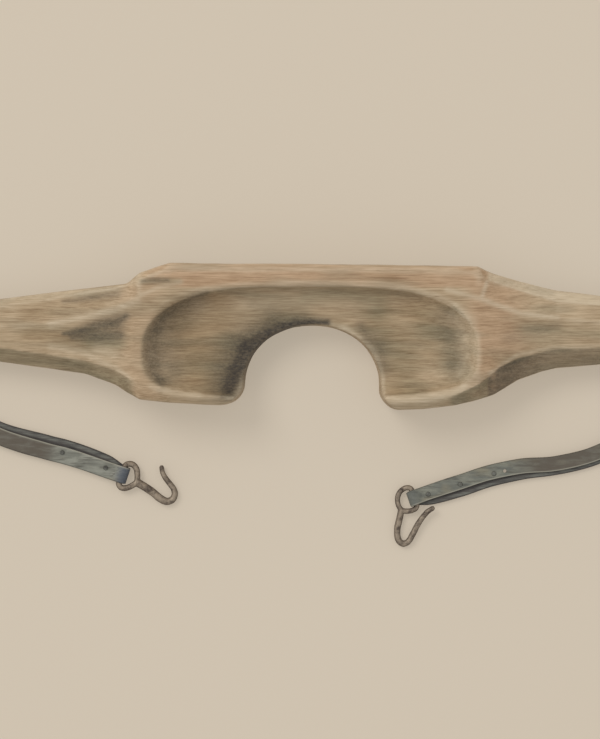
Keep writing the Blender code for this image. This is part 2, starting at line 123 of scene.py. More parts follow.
def remeshed(name, node, voxel):
    """One closed skin of even quads, voxel millimetres wide, over a copy of a CAD node."""
    source = bmesh.new()
    source.from_mesh(frame["nodes"][node].data)
    mesh = bpy.data.meshes.new(name)
    source.to_mesh(mesh)
    source.free()
    obj = new_object(name, mesh)
    modifier = obj.modifiers.new("skin", "REMESH")
    modifier.mode = "VOXEL"
    modifier.voxel_size = voxel * MM
    mesh = final_mesh(obj)
    mesh.materials.clear()
    mesh.shade_smooth()
    return obj


def edges_of(mesh):
    edges = np.empty(len(mesh.edges) * 2, int)
    mesh.edges.foreach_get("vertices", edges)
    return edges.reshape(-1, 2)


def averaged(values, edges):
    """Each vertex's mean over its neighbours."""
    total = np.zeros_like(values)
    np.add.at(total, edges[:, 0], values[edges[:, 1]])
    np.add.at(total, edges[:, 1], values[edges[:, 0]])
    count = np.bincount(edges.ravel(), minlength=len(values))
    return total / count.reshape((-1,) + (1,) * (values.ndim - 1))


def relax(mesh, rounds, shrink=0.5, swell=-0.52):
    """Smooths with alternate shrinking and swelling, which keeps the size."""
    edges = edges_of(mesh)
    points = read_points(mesh)
    for _ in range(rounds):
        points += (averaged(points, edges) - points) * shrink
        points += (averaged(points, edges) - points) * swell
    write_points(mesh, points)


def soften(mesh, mask, rounds):
    """Smooths by each vertex's share in the mask."""
    edges = edges_of(mesh)
    points = read_points(mesh)
    for _ in range(rounds):
        points += (averaged(points, edges) - points) * mask[:, None]
    write_points(mesh, points)


def push_out(mesh, normals, depth):
    """Moves each vertex along its normal by depth millimetres, but not into the floor."""
    points = read_points(mesh) + normals * depth[:, None] * MM
    points[:, 2] = np.maximum(points[:, 2], GROUND_CLEAR)
    write_points(mesh, points)


def edge_height(mesh, rounds):
    """How far each vertex stands out from the smoothed surface: ridges above 0, grooves below."""
    edges = edges_of(mesh)
    points = read_points(mesh)
    smooth = points.copy()
    for _ in range(rounds):
        smooth = averaged(smooth, edges)
    return ((points - smooth) * read_normals(mesh)).sum(1) / MM


VERTICES_PER_CUT = 110


def ripples(points, lengths, seed, waves=48):
    """A smooth random field, about -2 to 2, with a typical length along each axis."""
    rng = np.random.default_rng(seed)
    field = np.zeros(len(points))
    for _ in range(waves):
        direction = rng.normal(size=3) / np.array(lengths) * 2.2
        field += np.cos(points @ direction + rng.uniform(0, 2 * math.pi))
    return field * math.sqrt(2 / waves)


def scoops(points, size, seed):
    """Shallow overlapping tool cuts of a size along each axis: 0 in the middle of a cut and 1 on
    the ridge between two."""
    rng = np.random.default_rng(seed)
    scaled = points / np.array(size)
    chosen = scaled[rng.choice(len(scaled), int(len(scaled) / VERTICES_PER_CUT), replace=False)]
    tree = kdtree.KDTree(len(chosen))
    for i, point in enumerate(chosen):
        tree.insert(point, i)
    tree.balance()
    near = np.array([tree.find(point)[2] for point in scaled])
    return np.clip(near, 0, 1) ** 2


def store(mesh, **masks):
    """Painted masks, 0 to 1, kept as one attribute each."""
    for name, values in masks.items():
        layer = mesh.attributes.new(name, "FLOAT", "POINT")
        layer.data.foreach_set("value", np.clip(values, 0, 1).astype(np.float32))


def brushed(xy, strokes):
    """Soft strokes laid over each other: each is a strength and its points (x, y, radius)."""
    clear = np.ones(len(xy))
    for strength, stroke in strokes:
        nearest = np.full(len(xy), np.inf)
        for (x0, y0, r0), (x1, y1, r1) in zip(stroke, stroke[1:]):
            a, b = np.array([x0, y0]), np.array([x1, y1])
            t = np.clip(((xy - a) @ (b - a)) / ((b - a) @ (b - a)), 0, 1)
            away = np.linalg.norm(xy - (a + t[:, None] * (b - a)), axis=1)
            nearest = np.minimum(nearest, away / (r0 + (r1 - r0) * t))
        clear *= 1 - strength * np.exp(-nearest ** 2)
    return 1 - clear


# ---- shader graphs -----------------------------------------------------------------------

def rgb(red, green, blue):
    """A colour given as on a screen, 0 to 255, as the shader's linear values."""
    return tuple(((c / 255 + 0.055) / 1.055) ** 2.4 if c > 10 else c / 255 / 12.92
                 for c in (red, green, blue))


class Graph:
    """A material's nodes, with short names for the ones used here."""

    def __init__(self, name):
        self.material = bpy.data.materials.new(name)
        self.material.use_nodes = True
        self.tree = self.material.node_tree
        self.shader = self.tree.nodes["Principled BSDF"]

    def put(self, socket, value):
        """Links an output to the socket, or sets a number or a colour there."""
        if isinstance(value, bpy.types.NodeSocket):
            self.tree.links.new(value, socket)
        elif isinstance(value, tuple) and socket.type == "RGBA" and len(value) == 3:
            socket.default_value = (*value, 1)
        else:
            socket.default_value = value

    def node(self, kind, output=0, inputs=None, **settings):
        """Adds a node with its inputs and settings, and gives back one output."""
        node = self.tree.nodes.new("ShaderNode" + kind)
        for key, value in settings.items():
            setattr(node, key, value)
        for key, value in (inputs or {}).items():
            self.put(node.inputs[key], value)
        return node.outputs[output]

    def place(self, scale):
        """Object coordinates, stretched."""
        spot = self.node("TexCoord", "Object")
        return self.node("VectorMath", 0, {0: spot, 1: scale}, operation="MULTIPLY")

    def noise(self, scale, detail=3.0, rough=0.55, twist=0.0):
        """Noise of about 0.2 to 0.8, its scale in features a metre along each axis."""
        return self.node("TexNoise", 0, {"Vector": self.place(scale), "Scale": 1.0,
                         "Detail": detail, "Roughness": rough, "Distortion": twist})

    def calc(self, operation, a, b=0.5):
        return self.node("Math", 0, {0: a, 1: b}, operation=operation)

    def total(self, *parts):
        """The sum of (value, weight) pairs."""
        shares = [self.calc("MULTIPLY", value, weight) for value, weight in parts]
        result = shares[0]
        for share in shares[1:]:
            result = self.calc("ADD", result, share)
        return result

    def span(self, value, low, high, start=0.0, end=1.0):
        """Turns low to high smoothly into start to end."""
        return self.node("MapRange", 0, {0: value, 1: low, 2: high, 3: start, 4: end},
                         interpolation_type="SMOOTHSTEP")

    def mix(self, factor, a, b, blend="MIX"):
        return self.node("Mix", 2, {0: factor, 6: a, 7: b}, data_type="RGBA", blend_type=blend)

    def cover(self, colour, mask, share, coat):
        """Lays a coat over the colour where the mask says, at most by its share."""
        return self.mix(self.calc("MULTIPLY", mask, share), colour, coat)

    def mask(self, name):
        return self.node("Attribute", 2, attribute_name=name)

    def bump(self, height, distance, strength):
        return self.node("Bump", 0, {"Height": height, "Distance": distance,
                                     "Strength": strength})

    def finish(self, colour, rough, normal=None, **uniform):
        self.put(self.shader.inputs["Base Color"], colour)
        self.put(self.shader.inputs["Roughness"], rough)
        if normal is not None:
            self.put(self.shader.inputs["Normal"], normal)
        for key, value in uniform.items():
            self.shader.inputs[key.replace("_", " ")].default_value = value
        return self.material


# ---- beam --------------------------------------------------------------------------------

BEAM_VOXEL = 1.9

# The hollow's outline on the face, a rounded box whose ends droop, to lay its colours from.
HOLLOW_CENTRE = (-3.6, -12.5)
HOLLOW_HALF = (177.0, 58.5)
HOLLOW_DROP = 12.5
HOLLOW_POWER = 2.9

# Brush strokes over the face, in millimetres about the arms' axis: strength, (x, y, radius)...
# The shade strokes are the deep painted shade: the hollow's steep ends, round the notch, the arms'
# dishes. Olive is a greenish tint, also laid with painted shade; umber the brown; pale the worn
# edges and painted highlights on lit bevels and on the hollow's lit right end.
SHADE_STROKES = [
    (0.56, [(-112, 39, 4), (-126, 36, 7), (-143, 28, 10), (-158, 14, 12), (-167, -4, 13),
            (-169, -26, 12), (-167, -44, 9), (-160, -58, 6)]),     # steep left end of the hollow
    (0.34, [(-118, 30, 10), (-134, 18, 15), (-148, 0, 18), (-152, -24, 18), (-148, -46, 14)]),
    (0.97, [(15, 8, 4), (-2, 8, 6), (-18, 6, 8), (-36, 2, 9), (-52, -7, 11), (-68, -18, 13),
            (-77, -34, 13), (-85, -52, 12), (-89, -64, 10)]),      # round the notch's left edge
    (0.46, [(-46, 8, 11), (-64, -2, 15), (-82, -14, 18), (-94, -36, 20), (-98, -60, 17)]),
    (0.75, [(-46, -3, 6), (-60, -13, 8), (-72, -25, 10), (-80, -42, 9), (-87, -58, 9)]),
    (0.45, [(50, 4, 6), (58, -8, 9), (68, -16, 11), (72, -40, 10)]),   # right of the notch
    (0.2, [(-98, 40, 4), (-60, 42, 4), (-20, 43, 4), (40, 42, 4), (90, 39, 5), (112, 34, 4)]),
    (0.2, [(-64, 26, 5), (-36, 20, 8), (-8, 18, 6)]),
    (0.78, [(-262, -4, 2), (-254, -4, 4), (-240, 0, 6), (-223, 5, 8), (-207, 8, 8),
            (-196, 14, 4)]),
    (0.6, [(-252, -8, 3), (-222, -7, 6), (-203, -5, 6)]),          # the left arm's dish
    (0.4, [(-262, 30, 2.5), (-250, 31, 3.5), (-227, 34, 4), (-205, 38, 4.5)]),
    (0.45, [(-179, 51, 2), (-168, 52, 4), (-152, 52, 2.5)]),
    (0.32, [(138, 10, 12), (144, -10, 14), (146, -34, 12)]),       # right end of the hollow
    (0.25, [(205, -8, 8), (230, -2, 8), (256, 4, 6)]),
]
OLIVE = [
    (0.2, [(-75, 36, 10), (-40, 30, 12), (20, 36, 8), (90, 32, 8)]),
    (0.4, [(-60, 0, 16), (-10, 16, 12)]),
    (0.45, [(-88, -16, 14), (-104, -48, 18)]),
    (0.55, [(-8, 35, 6), (40, 36, 7), (70, 32, 9), (66, 12, 10)]),
    (0.5, [(64, 6, 20), (84, -30, 20), (100, -50, 16)]),
    (0.6, [(118, 4, 16), (142, -6, 14), (146, -34, 14)]),
    (0.8, [(-230, -12, 12), (-205, -16, 10)]),
    (0.5, [(225, 0, 12), (256, -4, 12), (300, -4, 12)]),
    (0.9, [(-179, 51, 4), (-160, 52, 5), (-140, 51, 3)]),
]
UMBER = [
    (0.85, [(-140, 4, 24), (-120, -36, 30)]),
    (0.6, [(-100, 30, 18), (-96, -30, 26)]),
    (0.15, [(-60, 30, 20), (0, 30, 18), (60, 30, 20)]),
    (0.6, [(66, 12, 18), (90, -10, 22), (92, -50, 20)]),
    (0.5, [(110, 20, 16), (130, -20, 22)]),
    (0.5, [(-300, 18, 10), (-250, 22, 10), (-225, 28, 8)]),
    (0.5, [(-300, -4, 8), (-265, -6, 8), (-240, -8, 10)]),
]
# Worn edges, and painted highlights along the lit bevels and on the hollow's right end wall.
WEAR_AND_HIGHLIGHT_STROKES = [
    (0.6, [(-186, 55, 3), (-208, 45.5, 3), (-238, 41.5, 3), (-283, 36, 3), (-330, 30, 3)]),
    (0.7, [(-184, 31, 4), (-207, 22, 3.5), (-230, 15, 3.5), (-275, 6, 4)]),
    (0.6, [(-181, 36, 2.5), (-161, 45, 2.5), (-138, 50, 2.5)]),
    (0.25, [(-184, 57, 4), (-182, 44, 4)]),
    (0.6, [(-275, -18, 4), (-241, -24, 4), (-223, -33, 4), (-207, -40, 3), (-196, -48, 3),
           (-187, -61, 4)]),
    (0.5, [(-226, -20, 6), (-208, -26, 5)]),
    (1.0, [(188, 54, 4.5), (215, 47, 4.5), (239, 41, 4.5), (256, 37, 4), (300, 32, 3.5)]),
    (0.9, [(182, 50, 2.4), (177, 35, 2.4)]),
    (0.9, [(140, 42, 2.5), (177, 32, 3), (197, 24, 2.8), (219, 17, 2.8), (256, 13, 2.8)]),
    (0.5, [(148, 26, 2.5), (162, 9, 3), (169, -10, 3), (170, -27, 3), (165, -45, 3),
           (156, -58, 3)]),
    (0.45, [(146, 16, 6), (157, 4, 7), (161, -20, 8), (156, -44, 6)]),
    (0.55, [(186, -46, 2.2), (198, -36, 2.2), (215, -26, 2.2), (239, -21, 2.2),
            (256, -18.5, 2.2), (300, -17, 2)]),
    (0.3, [(-140, -73, 3), (-100, -75, 3)]),
    (0.9, [(-71, -50, 2.5), (-77, -62, 4), (-88, -71, 4)]),        # the left lobe's worn corner
    (0.5, [(33, 2, 5), (46, -12, 5), (60, -34, 4)]),
    (0.22, [(-70, 30, 7), (0, 29, 8), (60, 26, 8)]),
    (0.35, [(84, -76, 3), (120, -75, 3), (140, -71, 3), (160, -60, 2.5)]),
    (0.5, [(-170, -60, 3), (-140, -67, 4), (-120, -69, 4)]),
]
# The shallow dish at the root of each arm.
DISH = [
    (1.0, [(-262, -8, 10), (-222, -8, 22), (-194, -8, 12)]),
    (1.0, [(200, -5, 16), (248, -5, 16)]),
]


def hollow_reach(x, y):
    """0 in the middle of the hollow and 1 on its outline."""
    centre_y = HOLLOW_CENTRE[1] - HOLLOW_DROP * (x / HOLLOW_HALF[0]) ** 4
    return (np.abs((x - HOLLOW_CENTRE[0]) / HOLLOW_HALF[0]) ** HOLLOW_POWER
            + np.abs((y - centre_y) / HOLLOW_HALF[1]) ** HOLLOW_POWER) ** (1 / HOLLOW_POWER)


# Ranges over which one part of the beam gives way to the next, in millimetres along x.
TURNED_END = (378, 384)
ARM_ROOT = (180, 188)
RIGHT_ARM = (182, 185)
LEFT_ARM = (-184, -196)
LEFT_BLOCK = (-90, -140)

# Typical sizes along each axis, in millimetres.
CUT_SIZE = (17.0, 9.0, 9.0)        # one tool cut
SLOW_WAVES = (60, 14, 14)
FINE_WAVES = (40, 5, 5)
MOTTLE = (50, 12, 12)              # patches of grime
BROWNING = (70, 20, 20)            # patches of browner wood


def smooth_beam(mesh):
    """Evens out the skin, and more so in the arms' dishes and round the hollow's ends."""
    relax(mesh, rounds=5)
    soften(mesh, np.full(len(mesh.vertices), 0.55), rounds=2)
    facing = smoothstep(0.2, 0.5, read_normals(mesh)[:, 2])
    soften(mesh, 0.9 * facing * brushed(millimetres(mesh)[:, :2], DISH), rounds=70)
    reach = hollow_reach(*millimetres(mesh).T[:2])
    rim = smoothstep(0.93, 0.98, reach) * smoothstep(1.06, 1.02, reach)
    ends = smoothstep(60, 120, np.abs(read_points(mesh)[:, 0]) / MM)
    soften(mesh, 0.6 * ends * rim, rounds=14)


def carve_beam(mesh, spots, normals):
    """Shallow tool cuts and waves; the turned ends have no cuts, and fainter waves."""
    turned = smoothstep(*TURNED_END, np.abs(spots[:, 0]))
    depth = 0.25 * (scoops(spots, CUT_SIZE, SEED) - 0.5) * (1 - turned)
    depth += 0.12 * ripples(spots, SLOW_WAVES, SEED + 1) * (1 - 0.5 * turned)
    depth += 0.05 * ripples(spots, FINE_WAVES, SEED + 2)
    push_out(mesh, normals, depth)


def paint_beam(mesh, spots, normals):
    """Lays the strokes, the painted light and shade of the bevels and grooves and the wear on the edges into
    masks.
    """
    edges = edges_of(mesh)
    ridge = edge_height(mesh, rounds=6)
    for _ in range(3):
        ridge = averaged(ridge, edges)
    x, y, z = spots.T
    side, facing = np.abs(x), normals[:, 2]
    xy = spots[:, :2]
    up = smoothstep(0.0, 0.35, facing)
    turned = smoothstep(*TURNED_END, side)
    reach = hollow_reach(x, y)
    hollow = up * smoothstep(1.015, 0.985, reach) * smoothstep(FACE_Z, FACE_Z - 1.5, z)
    face = up * (1 - hollow)
    left_block = smoothstep(*LEFT_BLOCK, x)

    # The strokes, with the painted shade carried down the notch's wall on its left side only.
    notch_wall = smoothstep(90, 70, side) * smoothstep(24, 14, y) * smoothstep(-0.3, 0.0, facing)
    notch_wall *= smoothstep(28, -34, x)
    charcoal = brushed(xy, SHADE_STROKES) * np.maximum(up, notch_wall)
    outside = left_block * smoothstep(0.985, 1.015, reach) * smoothstep(-188, -180, x)
    charcoal *= 1 - 0.9 * outside * smoothstep(-64, -60, y) * smoothstep(49, 45, y)
    mottle = ripples(spots, MOTTLE, SEED + 3)
    charcoal += 0.10 * smoothstep(0.2, 1.5, mottle)
    # Painted shade: darker in grooves and on faces turned downward; the mottle above is grime.
    charcoal += 0.5 * smoothstep(-0.1, -0.5, ridge) + 0.25 * smoothstep(-0.2, 0.2, -facing)
    olive = brushed(xy, OLIVE) * up + 0.12 * hollow + 0.15 * mottle
    umber = brushed(xy, UMBER) * up + 0.10 * ripples(spots, BROWNING, SEED + 4)
    left_rim = left_block * smoothstep(0.90, 0.95, reach) * smoothstep(1.10, 1.05, reach)
    worn = smoothstep(0.10, 0.45, ridge) * (1 - 0.85 * left_rim)
    # Worn ridges, with the strokes' worn edges and painted highlights.
    pale = 0.8 * brushed(xy, WEAR_AND_HIGHLIGHT_STROKES) * smoothstep(-0.1, 0.3, facing) + 0.5 * worn

    # The bevels above and below the face, by the way they look: a painted highlight on the upper ones;
    # painted shade, darker and olive, on the lower ones, lightened near the middle.
    high = smoothstep(0.40, 0.60, normals[:, 1]) * smoothstep(0.05, 0.30, facing)
    high *= smoothstep(*ARM_ROOT, side) * (1 - turned)
    low = smoothstep(0.34, 0.48, -normals[:, 1]) * face * (1 - turned)
    right_low = low * smoothstep(*RIGHT_ARM, x)
    left_low = low * smoothstep(*LEFT_ARM, x)
    block_low = low * smoothstep(140, 150, x) * smoothstep(*RIGHT_ARM[::-1], x)
    charcoal += right_low * (0.76 - 0.34 * smoothstep(200, 262, x))
    charcoal += 0.14 * left_low + 0.22 * block_low
    olive += 0.95 * block_low + 0.80 * left_low + 0.3 * right_low
    pale = pale * (1 - 0.6 * low) + high * np.where(x > 0, 0.9, 0.25)
    pale += 0.3 * low * smoothstep(145, 120, side)

    # Warm wood along the face's upper rim and round the arms' roots.
    blush = face * smoothstep(42, 47, y) * smoothstep(-185, -150, x) * smoothstep(185, 150, x)
    blush += 0.9 * face * smoothstep(150, 176, x) * smoothstep(240, 200, x)
    blush += 0.35 * face * smoothstep(-150, -172, x) * smoothstep(-215, -190, x)
    store(mesh, charcoal=charcoal, olive=olive, umber=umber, pale=pale, blush=blush)


def build_beam():
    beam = remeshed("carved_beam", "yoke_beam", BEAM_VOXEL)
    mesh = beam.data
    smooth_beam(mesh)
    spots, normals = millimetres(mesh), read_normals(mesh)
    carve_beam(mesh, spots, normals)
    paint_beam(mesh, spots, normals)
    mesh.materials.append(wood_material())
    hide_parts("yoke_beam")
    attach(beam, "beam")


# The wood's colours between the grain's lines and on them, for each painted mask.
BARE = (198, 175, 143), (153, 130, 100)
WARM = (200, 168, 135), (158, 127, 96)
BROWN = (172, 145, 108), (124, 99, 67)
DUSK = (160, 149, 119), (113, 100, 74)
# Colours of the worn edges and of the painted highlights.
WEAR_AND_HIGHLIGHT_TONES = (216, 201, 175), (194, 176, 148)
HAIR_LINE = (176, 160, 140)        # multiplies the wood along its finest lines
# Colours of the painted shade with some grime, and of the deepest painted shade.
SHADE_AND_GRIME_TONES = (94, 86, 69), (60, 55, 48)
DEEP_SHADE_TONE = (58, 52, 46)
PITH = (-0.31, -0.09)              # y and z, in metres, of the log's middle
RINGS_PER_METRE = 350.0
RING_DRIFT = 0.014


def wood_material():
    g = Graph("worn_wood")
    charcoal, olive, umber, pale, blush = (
        g.mask(name) for name in ("charcoal", "olive", "umber", "pale", "blush"))

    # Growth rings about a pith well outside the beam, so they run along it.
    drift = g.noise((2.2, 14.0, 9.0), detail=2)
    xyz = g.tree.nodes.new("ShaderNodeSeparateXYZ")
    g.put(xyz.inputs[0], g.node("TexCoord", "Object"))
    away = [g.calc("SUBTRACT", xyz.outputs[k + 1], PITH[k]) for k in (0, 1)]
    ring = g.calc("SQRT", g.calc("ADD", *(g.calc("MULTIPLY", a, a) for a in away)))
    ring = g.calc("ADD", ring, g.calc("MULTIPLY", drift, RING_DRIFT))
    late = g.span(g.calc("FRACT", g.calc("MULTIPLY", ring, RINGS_PER_METRE)), 0.3, 1.0)
    fibre = g.noise((55.0, 900.0, 340.0), detail=3, rough=0.65)
    hair = g.span(g.noise((16.0, 640.0, 260.0), detail=4, rough=0.7), 0.56, 0.70)
    streak = g.noise((26.0, 420.0, 150.0), detail=5, rough=0.62)
    lane = g.noise((5.0, 80.0, 30.0), detail=3, rough=0.55)
    grit = g.noise((300.0, 520.0, 380.0), detail=5, rough=0.75)
    grain = g.total((g.span(streak, 0.32, 0.68), 0.38), (g.span(lane, 0.34, 0.66), 0.26),
                    (late, 0.10), (g.span(fibre, 0.34, 0.66), 0.40))

    def tone(between, on):
        return g.mix(grain, rgb(*between), rgb(*on))

    colour = tone(*BARE)
    for mask, share, pair in ((blush, 0.9, WARM), (umber, 0.85, BROWN), (olive, 0.8, DUSK),
                              (pale, 0.75, WEAR_AND_HIGHLIGHT_TONES)):
        colour = g.cover(colour, mask, share, tone(*pair))
    colour = g.cover(colour, hair, 0.5, g.mix(1.0, colour, rgb(*HAIR_LINE), "MULTIPLY"))
    # The painted shade and grime go on last, darkest where the shade strokes are strongest.
    shade_coat = g.mix(g.span(grit, 0.36, 0.66), *(rgb(*c) for c in SHADE_AND_GRIME_TONES))
    shade_coat = g.mix(g.span(charcoal, 0.80, 0.99, 0.0, 0.8), shade_coat, rgb(*DEEP_SHADE_TONE))
    colour = g.cover(colour, charcoal, g.span(grit, 0.36, 0.62, 0.86, 1.0), shade_coat)

    rough = g.span(g.total((grain, 1.0), (charcoal, 0.4)), 0.0, 1.2, 0.52, 0.78)
    height = g.total((fibre, 0.5), (streak, 1.0), (late, -0.2))
    normal = g.bump(height, distance=0.00018, strength=0.7)
    return g.finish(colour, rough, normal, Specular_IOR_Level=0.35)


# ---- straps ------------------------------------------------------------------------------

PLY = 3.0                  # thickness of one layer
PLY_GAP = 0.35
STRAP_Z = 5.6              # middle of the two layers where they lie flat
PINCH = 58.0               # distance from the arm's axis at which the layers come together
FRONT_START = 6.0          # where the front layer begins under the lap, beyond the pinch
LAP_TURN = 12.0            # where the loop has come down flat on the front layer
LAP_START = 13.5
LAP_END = 40.0
LOOP_HALF = (24.6, 18.5)   # the loop round the arm, along the strap and upright
LOOP_STEPS = 70
TURN_SHARE = 0.30          # share of the loop's straight top that its turn on to the lap takes
TOP_POINTS, TURN_POINTS, LOW_POINTS = 12, 14, 14
FOLD_RADIUS = 5.25         # middle of the layer that goes round the hook's bar
FOLD_STEPS = 16
FOLD_TAPER = 11.0          # distance over which the layers part in front of the bar
RISE = 13.0                # distance over which the strap rises to the bar
EDGE_ROUND = 0.8
EDGE_WAVER = 0.28          # how far the strip's edges waver sideways
EDGE_THINNING = 0.10       # share of its thickness that the strip loses at its edges
CORNER_ANGLES = (67, 45, 22, 0)
FLAT_POINTS = 23           # points across the strip's flat side
HOLE_RADIUS = 1.85
HOLE_SIDES = 20
CUTTER_DEPTH = 40.0
STEP = 1.6                 # distance between cross-sections
ROUTE_STEPS = 24           # steps between two points of the route
HEADING_REACH = 1.5        # how far ahead and back the strap's direction is taken

# Each side's strap. The route runs from the arm's axis to the hook's bar, seen from above: x, y
# and how far the rear layer stands out sideways there. Holes are (distance back from the bar,
# sideways place). Flex and bend give a stretch, bend to each side of flex, whose ends are worked
# out but not used. Its face is stained by the arm, fading out from the stain's second distance to
# its first.
# Tip is each side's colour for the painted shade where the strip bends round the hook's bar.
SIDES = {
    "left": {
        "width": 18.0,
        "route": [(-414.5, 0, 0), (-397.6, -36.3, 0.5), (-376, -76, 2.5), (-342, -107, 5.5),
                  (-283, -127.4, 8.0), (-262.5, -132.7, 8.0), (-226.4, -144.4, 6.6),
                  (-216.0, -148.0, 5.4), (-202.0, -152.8, 0.8)],
        "holes": [],
        "flex": 135.0,
        "bend": 30.0,
        "stain": (215.0, 187.0),
        "face": ((146, 146, 134), (116, 116, 106)),
        "tip": (70, 78, 92),
    },
    "right": {
        "width": 16.0,
        "route": [(414.5, 0, 0), (397.6, -36.3, 0.5), (374, -78, 2.0), (335, -112, 3.2),
                  (295, -131.5, 4.0), (255.2, -141.0, 4.4), (219.1, -143.9, 6.4),
                  (186.5, -150.5, 7.2), (153.7, -161.1, 7.4), (121.8, -171.5, 5.4),
                  (107, -176.6, 0.8)],
        "holes": [(100.0, 2.0)],
        "flex": 165.0,
        "bend": 36.0,
        "stain": (284.0, 232.0),
        "face": ((134, 134, 121), (102, 104, 97)),
        "tip": (102, 104, 98),
    },
}


def smooth_curve(points, steps):
    """A centripetal Catmull-Rom curve."""
    p = np.array(points, float)
    p = np.vstack([2 * p[0] - p[1], p, 2 * p[-1] - p[-2]])
    curve = []
    for a, b, c, d in zip(p, p[1:], p[2:], p[3:]):
        k1 = np.linalg.norm(b - a) ** 0.5
        k2 = k1 + np.linalg.norm(c - b) ** 0.5
        k3 = k2 + np.linalg.norm(d - c) ** 0.5
        for k in np.linspace(k1, k2, steps, endpoint=False):
            ab = a + (b - a) * k / k1
            bc = b + (c - b) * (k - k1) / (k2 - k1)
            cd = c + (d - c) * (k - k2) / (k3 - k2)
            abc = ab + (bc - ab) * k / k2
            bcd = bc + (cd - bc) * (k - k1) / (k3 - k1)
            curve.append(abc + (bcd - abc) * (k - k1) / (k2 - k1))
    curve.append(p[-2])
    return np.array(curve)


class Strap:
    """One side's doubled strip. A station is a distance along the route, a height, and how far
    the strip has gone over from the front layer (0) to the rear one (1)."""

    def __init__(self, name, side):
        self.name = name
        self.width = side["width"]
        self.route = smooth_curve(side["route"], ROUTE_STEPS)
        steps = np.linalg.norm(np.diff(self.route[:, :2], axis=0), axis=1)
        self.along = np.concatenate([[0.0], np.cumsum(steps)])
        self.length = self.along[-1]
        self.bar_z = JOINTS[f"{name}_hook_swing"]["pos_m"][2] / MM

    def spot(self, s):
        return np.array([np.interp(s, self.along, self.route[:, k]) for k in (0, 1)])

    def heading(self, s):
        step = (self.spot(min(s + HEADING_REACH, self.length))
                - self.spot(max(s - HEADING_REACH, 0.0)))
        return step / np.linalg.norm(step)

    def place(self, s, sideways, z):
        """A point of the strap in the frame; past the route's ends it runs straight on."""
        inside = min(max(s, 0.0), self.length)
        ahead = self.heading(inside)
        across = np.array([-ahead[1], ahead[0]])
        x, y = self.spot(inside) + ahead * (s - inside) + across * sideways
        return at(x, y, z)

    def rear_shift(self, s):
        return float(np.interp(s, self.along, self.route[:, 2]))

    def middle_z(self, s):
        lift = float(smoothstep(self.length - RISE, self.length, s))
        return STRAP_Z + (self.bar_z - STRAP_Z) * lift

    def half_offset(self, s):
        flat = (PLY + PLY_GAP) / 2
        parting = float(smoothstep(self.length - FOLD_TAPER, self.length, s))
        return flat + (FOLD_RADIUS - flat) * parting

    def layer(self, start, end, level, rear):
        """Along the route: level 1 is the front layer, -1 the rear one and 2 the lap on top."""
        path = []
        for s in np.linspace(start, end, max(2, int(abs(end - start) / STEP))):
            offset = self.half_offset(s) + (abs(level) - 1) * (PLY + PLY_GAP)
            path.append((s, self.middle_z(s) + math.copysign(offset, level), rear))
        return path

    def fold(self):
        """Round the hook's bar, from the front layer to the rear one."""
        path = []
        for i in range(1, FOLD_STEPS):
            angle = math.pi * (0.5 - i / FOLD_STEPS)
            path.append((self.length + FOLD_RADIUS * math.cos(angle),
                         self.bar_z + FOLD_RADIUS * math.sin(angle), i / FOLD_STEPS))
        return path

    def loop(self):
        """From the pinch under the arm's neck, round it and back to the lap on top."""
        a, b = LOOP_HALF
        axis_z = AXIS.z / MM
        low = (PINCH, self.middle_z(PINCH) - self.half_offset(PINCH))
        top = (PINCH, self.middle_z(PINCH) + self.half_offset(PINCH) + PLY + PLY_GAP)

        def tangent(point, side):
            x, y = point[0] / a, (point[1] - axis_z) / b
            return math.atan2(y, x) + side * math.acos(1 / math.hypot(x, y))

        start, end = -tangent(low, -1), 2 * math.pi - tangent(top, 1)
        path = []
        for i in range(LOOP_STEPS + 1):
            angle = start + (end - start) * i / LOOP_STEPS
            path.append((a * math.cos(angle), axis_z - b * math.sin(angle), 1 - i / LOOP_STEPS))

        # Straight down to the lap, with a curve where it turns flat.
        corner = np.array(top)
        before = corner + (np.array(path[-1][:2]) - corner) * TURN_SHARE
        after = np.array([PINCH + LAP_TURN, top[1]])
        path += [(s, z, 0) for s, z in np.linspace(path[-1][:2], before, TOP_POINTS)[1:-1]]
        for t in np.linspace(0, 1, TURN_POINTS):
            s, z = before * (1 - t) ** 2 + corner * 2 * t * (1 - t) + after * t * t
            path.append((s, z, 0))
        low_run = np.linspace(low, path[0][:2], LOW_POINTS)[1:-1]
        return [(s, z, 1) for s, z in low_run] + path

    def stations(self):
        path = self.layer(PINCH + FRONT_START, self.length, 1, 0) + self.fold()
        path += self.layer(self.length, PINCH, -1, 1)
        return path + self.loop() + self.layer(PINCH + LAP_START, PINCH + LAP_END, 2, 0)

    def outline(self):
        """The strip's section: (across, out), with rounded edges."""
        half_w, half_t, r = self.width / 2, PLY / 2, EDGE_ROUND
        top = [(w, half_t) for w in np.linspace(-half_w + r, half_w - r, FLAT_POINTS)]
        corner = [(half_w - r + r * math.cos(a), half_t - r + r * math.sin(a))
                  for a in np.radians(CORNER_ANGLES)]
        side = top + corner
        return side + [(-w, -t) for w, t in side]


def punched(obj, spots):
    """Cuts round upright holes through a piece."""
    cutters = bmesh.new()
    for spot in spots:
        bmesh.ops.create_cone(cutters, cap_ends=True, segments=HOLE_SIDES, depth=CUTTER_DEPTH * MM,
                              radius1=HOLE_RADIUS * MM, radius2=HOLE_RADIUS * MM,
                              matrix=Matrix.Translation(spot))
    mesh = bpy.data.meshes.new("cutter")
    cutters.to_mesh(mesh)
    cutters.free()
    cutter = new_object("cutter", mesh)
    modifier = obj.modifiers.new("holes", "BOOLEAN")
    modifier.operation = "DIFFERENCE"
    modifier.object = cutter
    result = final_mesh(obj)
    bpy.data.objects.remove(cutter)
    return result


def wavering(run, lengths, rng):
    """The slight unevenness of a hand-cut edge."""
    return sum(np.cos(run / length + rng.uniform(0, 6)) for length in lengths) / len(lengths)


